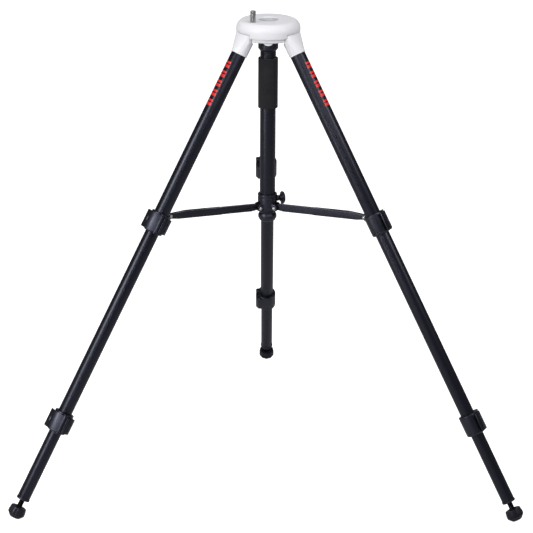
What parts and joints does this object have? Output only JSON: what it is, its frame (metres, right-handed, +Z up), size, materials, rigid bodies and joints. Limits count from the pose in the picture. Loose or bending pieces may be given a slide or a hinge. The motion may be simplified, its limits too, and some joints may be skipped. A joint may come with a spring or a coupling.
{
  "type": "instrument field tripod",
  "caption": "Field tripod with a round recessed head and azimuth peg, telescoping legs with lever locks, a centre column grip and a sliding spreader.",
  "frame": {"origin": "centre of the floor of the round recess in the head, where an instrument seats", "axes": "+Z up along the column, +Y towards the rear leg, +X to the right between the two front legs"},
  "size_m": [1.1852, 1.032, 1.1255],
  "materials": {
    "white_casting": "satin gloss white paint on a cast head",
    "black_aluminium": "black anodised, satin, fine lengthwise grain",
    "black_plastic": "moulded black plastic, fine texture",
    "foam": "matte closed-cell foam",
    "steel": "bright turned steel",
    "rubber": "matte moulded rubber"
  },
  "bodies": {
    "root": {"head_plate": "white_casting", "head_base": "white_casting", "base_boss": "white_casting", "azimuth_peg": "steel", "column_tube": "black_aluminium", "column_collar": "black_plastic", "column_grip": "foam", "column_cap": "black_plastic", "hinge_pin_rear": "steel", "hinge_pin_left": "steel", "hinge_pin_right": "steel"},
    "hub": {"spreader_hub": "black_plastic", "hub_pin_rear": "steel", "hub_pin_left": "steel", "hub_pin_right": "steel"},
    "knob": {"hub_knob": "black_plastic"},
    "leg_rear": {"knuckle_rear": "white_casting", "upper_tube_rear": "black_aluminium", "upper_lock_rear": "black_plastic", "lug_pin_rear": "steel"},
    "middle_rear": {"middle_tube_rear": "black_aluminium", "lower_lock_rear": "black_plastic"},
    "lower_rear": {"lower_tube_rear": "black_aluminium", "end_cap_rear": "black_plastic", "foot_stem_rear": "steel"},
    "foot_rear": {"foot_rear": "rubber"},
    "upper_lever_rear": {"upper_lever_rear": "black_plastic"},
    "lower_lever_rear": {"lower_lever_rear": "black_plastic"},
    "tongue_rear": {"arm_tongue_rear": "black_aluminium"},
    "fork_rear": {"arm_fork_rear": "black_aluminium"},
    "leg_left": {"knuckle_left": "white_casting", "upper_tube_left": "black_aluminium", "upper_lock_left": "black_plastic", "lug_pin_left": "steel"},
    "middle_left": {"middle_tube_left": "black_aluminium", "lower_lock_left": "black_plastic"},
    "lower_left": {"lower_tube_left": "black_aluminium", "end_cap_left": "black_plastic", "foot_stem_left": "steel"},
    "foot_left": {"foot_left": "rubber"},
    "upper_lever_left": {"upper_lever_left": "black_plastic"},
    "lower_lever_left": {"lower_lever_left": "black_plastic"},
    "tongue_left": {"arm_tongue_left": "black_aluminium"},
    "fork_left": {"arm_fork_left": "black_aluminium"},
    "leg_right": {"knuckle_right": "white_casting", "upper_tube_right": "black_aluminium", "upper_lock_right": "black_plastic", "lug_pin_right": "steel"},
    "middle_right": {"middle_tube_right": "black_aluminium", "lower_lock_right": "black_plastic"},
    "lower_right": {"lower_tube_right": "black_aluminium", "end_cap_right": "black_plastic", "foot_stem_right": "steel"},
    "foot_right": {"foot_right": "rubber"},
    "upper_lever_right": {"upper_lever_right": "black_plastic"},
    "lower_lever_right": {"lower_lever_right": "black_plastic"},
    "tongue_right": {"arm_tongue_right": "black_aluminium"},
    "fork_right": {"arm_fork_right": "black_aluminium"}
  },
  "joints": [
    {"name": "hub_slide", "type": "slide", "parent": "root", "child": "hub", "axis": [0, 0, 1], "range_m": [0, 0.1963]},
    {"name": "knob_turn", "type": "hinge", "parent": "hub", "child": "knob", "pos_m": [0.02885, 0.00613, -0.4166], "axis": [0.9781, 0.2079, 0], "range_deg": [-180, 180]},
    {"name": "leg_fold_rear", "type": "hinge", "parent": "root", "child": "leg_rear", "pos_m": [0, 0.0536, -0.0206], "axis": [-1, 0, 0], "range_deg": [0, 25]},
    {"name": "tongue_turn_rear", "type": "hinge", "parent": "hub", "child": "tongue_rear", "pos_m": [0, 0.024, -0.435], "axis": [-1, 0, 0], "range_deg": [0, 82.73]},
    {"name": "fork_turn_rear", "type": "hinge", "parent": "leg_rear", "child": "fork_rear", "pos_m": [0, 0.2567, -0.419], "axis": [-1, 0, 0], "range_deg": [0, 57.73]},
    {"name": "middle_slide_rear", "type": "slide", "parent": "leg_rear", "child": "middle_rear", "axis": [0, 0.5012, -0.8653], "range_m": [-0.41, 0]},
    {"name": "lower_slide_rear", "type": "slide", "parent": "middle_rear", "child": "lower_rear", "axis": [0, 0.5012, -0.8653], "range_m": [-0.135, 0.265]},
    {"name": "upper_lever_swing_rear", "type": "hinge", "parent": "leg_rear", "child": "upper_lever_rear", "pos_m": [-0.0248, 0.29831, -0.42513], "axis": [0, -0.5012, 0.8653], "range_deg": [0, 105]},
    {"name": "lower_lever_swing_rear", "type": "hinge", "parent": "middle_rear", "child": "lower_lever_rear", "pos_m": [-0.0248, 0.55317, -0.86515], "axis": [0, -0.5012, 0.8653], "range_deg": [0, 105]},
    {"name": "foot_screw_rear", "type": "hinge", "parent": "lower_rear", "child": "foot_rear", "pos_m": [0, 0.66157, -1.07024], "axis": [0, 0.5012, -0.8653], "range_deg": [-180, 180]},
    {"name": "leg_fold_left", "type": "hinge", "parent": "root", "child": "leg_left", "pos_m": [-0.04642, -0.0268, -0.0206], "axis": [0.5, -0.866, 0], "range_deg": [0, 25]},
    {"name": "tongue_turn_left", "type": "hinge", "parent": "hub", "child": "tongue_left", "pos_m": [-0.02079, -0.012, -0.435], "axis": [0.5, -0.866, 0], "range_deg": [0, 82.73]},
    {"name": "fork_turn_left", "type": "hinge", "parent": "leg_left", "child": "fork_left", "pos_m": [-0.22231, -0.12835, -0.419], "axis": [0.5, -0.866, 0], "range_deg": [0, 57.73]},
    {"name": "middle_slide_left", "type": "slide", "parent": "leg_left", "child": "middle_left", "axis": [-0.4341, -0.2506, -0.8653], "range_m": [-0.41, 0]},
    {"name": "lower_slide_left", "type": "slide", "parent": "middle_left", "child": "lower_left", "axis": [-0.4341, -0.2506, -0.8653], "range_m": [-0.135, 0.265]},
    {"name": "upper_lever_swing_left", "type": "hinge", "parent": "leg_left", "child": "upper_lever_left", "pos_m": [-0.24594, -0.17063, -0.42513], "axis": [0.4341, 0.2506, 0.8653], "range_deg": [0, 105]},
    {"name": "lower_lever_swing_left", "type": "hinge", "parent": "middle_left", "child": "lower_lever_left", "pos_m": [-0.46666, -0.29806, -0.86515], "axis": [0.4341, 0.2506, 0.8653], "range_deg": [0, 105]},
    {"name": "foot_screw_left", "type": "hinge", "parent": "lower_left", "child": "foot_left", "pos_m": [-0.57293, -0.33078, -1.07024], "axis": [-0.4341, -0.2506, -0.8653], "range_deg": [-180, 180]},
    {"name": "leg_fold_right", "type": "hinge", "parent": "root", "child": "leg_right", "pos_m": [0.04642, -0.0268, -0.0206], "axis": [0.5, 0.866, 0], "range_deg": [0, 25]},
    {"name": "tongue_turn_right", "type": "hinge", "parent": "hub", "child": "tongue_right", "pos_m": [0.02079, -0.012, -0.435], "axis": [0.5, 0.866, 0], "range_deg": [0, 82.73]},
    {"name": "fork_turn_right", "type": "hinge", "parent": "leg_right", "child": "fork_right", "pos_m": [0.22231, -0.12835, -0.419], "axis": [0.5, 0.866, 0], "range_deg": [0, 57.73]},
    {"name": "middle_slide_right", "type": "slide", "parent": "leg_right", "child": "middle_right", "axis": [0.4341, -0.2506, -0.8653], "range_m": [-0.41, 0]},
    {"name": "lower_slide_right", "type": "slide", "parent": "middle_right", "child": "lower_right", "axis": [0.4341, -0.2506, -0.8653], "range_m": [-0.135, 0.265]},
    {"name": "upper_lever_swing_right", "type": "hinge", "parent": "leg_right", "child": "upper_lever_right", "pos_m": [0.27074, -0.12768, -0.42513], "axis": [-0.4341, 0.2506, 0.8653], "range_deg": [0, 105]},
    {"name": "lower_lever_swing_right", "type": "hinge", "parent": "middle_right", "child": "lower_lever_right", "pos_m": [0.49146, -0.25511, -0.86515], "axis": [-0.4341, 0.2506, 0.8653], "range_deg": [0, 105]},
    {"name": "foot_screw_right", "type": "hinge", "parent": "lower_right", "child": "foot_right", "pos_m": [0.57293, -0.33078, -1.07024], "axis": [0.4341, -0.2506, -0.8653], "range_deg": [-180, 180]}
  ],
  "couplings": [
    {"joint": "tongue_turn_rear", "follows": "leg_fold_rear", "ratio": 3.3094},
    {"joint": "fork_turn_rear", "follows": "leg_fold_rear", "ratio": 2.3094},
    {"joint": "leg_fold_left", "follows": "leg_fold_rear", "ratio": 1},
    {"joint": "tongue_turn_left", "follows": "leg_fold_rear", "ratio": 3.3094},
    {"joint": "fork_turn_left", "follows": "leg_fold_rear", "ratio": 2.3094},
    {"joint": "leg_fold_right", "follows": "leg_fold_rear", "ratio": 1},
    {"joint": "tongue_turn_right", "follows": "leg_fold_rear", "ratio": 3.3094},
    {"joint": "fork_turn_right", "follows": "leg_fold_rear", "ratio": 2.3094},
    {"joint": "hub_slide", "follows": "leg_fold_rear", "m_per_rad": 0.44988}
  ]
}
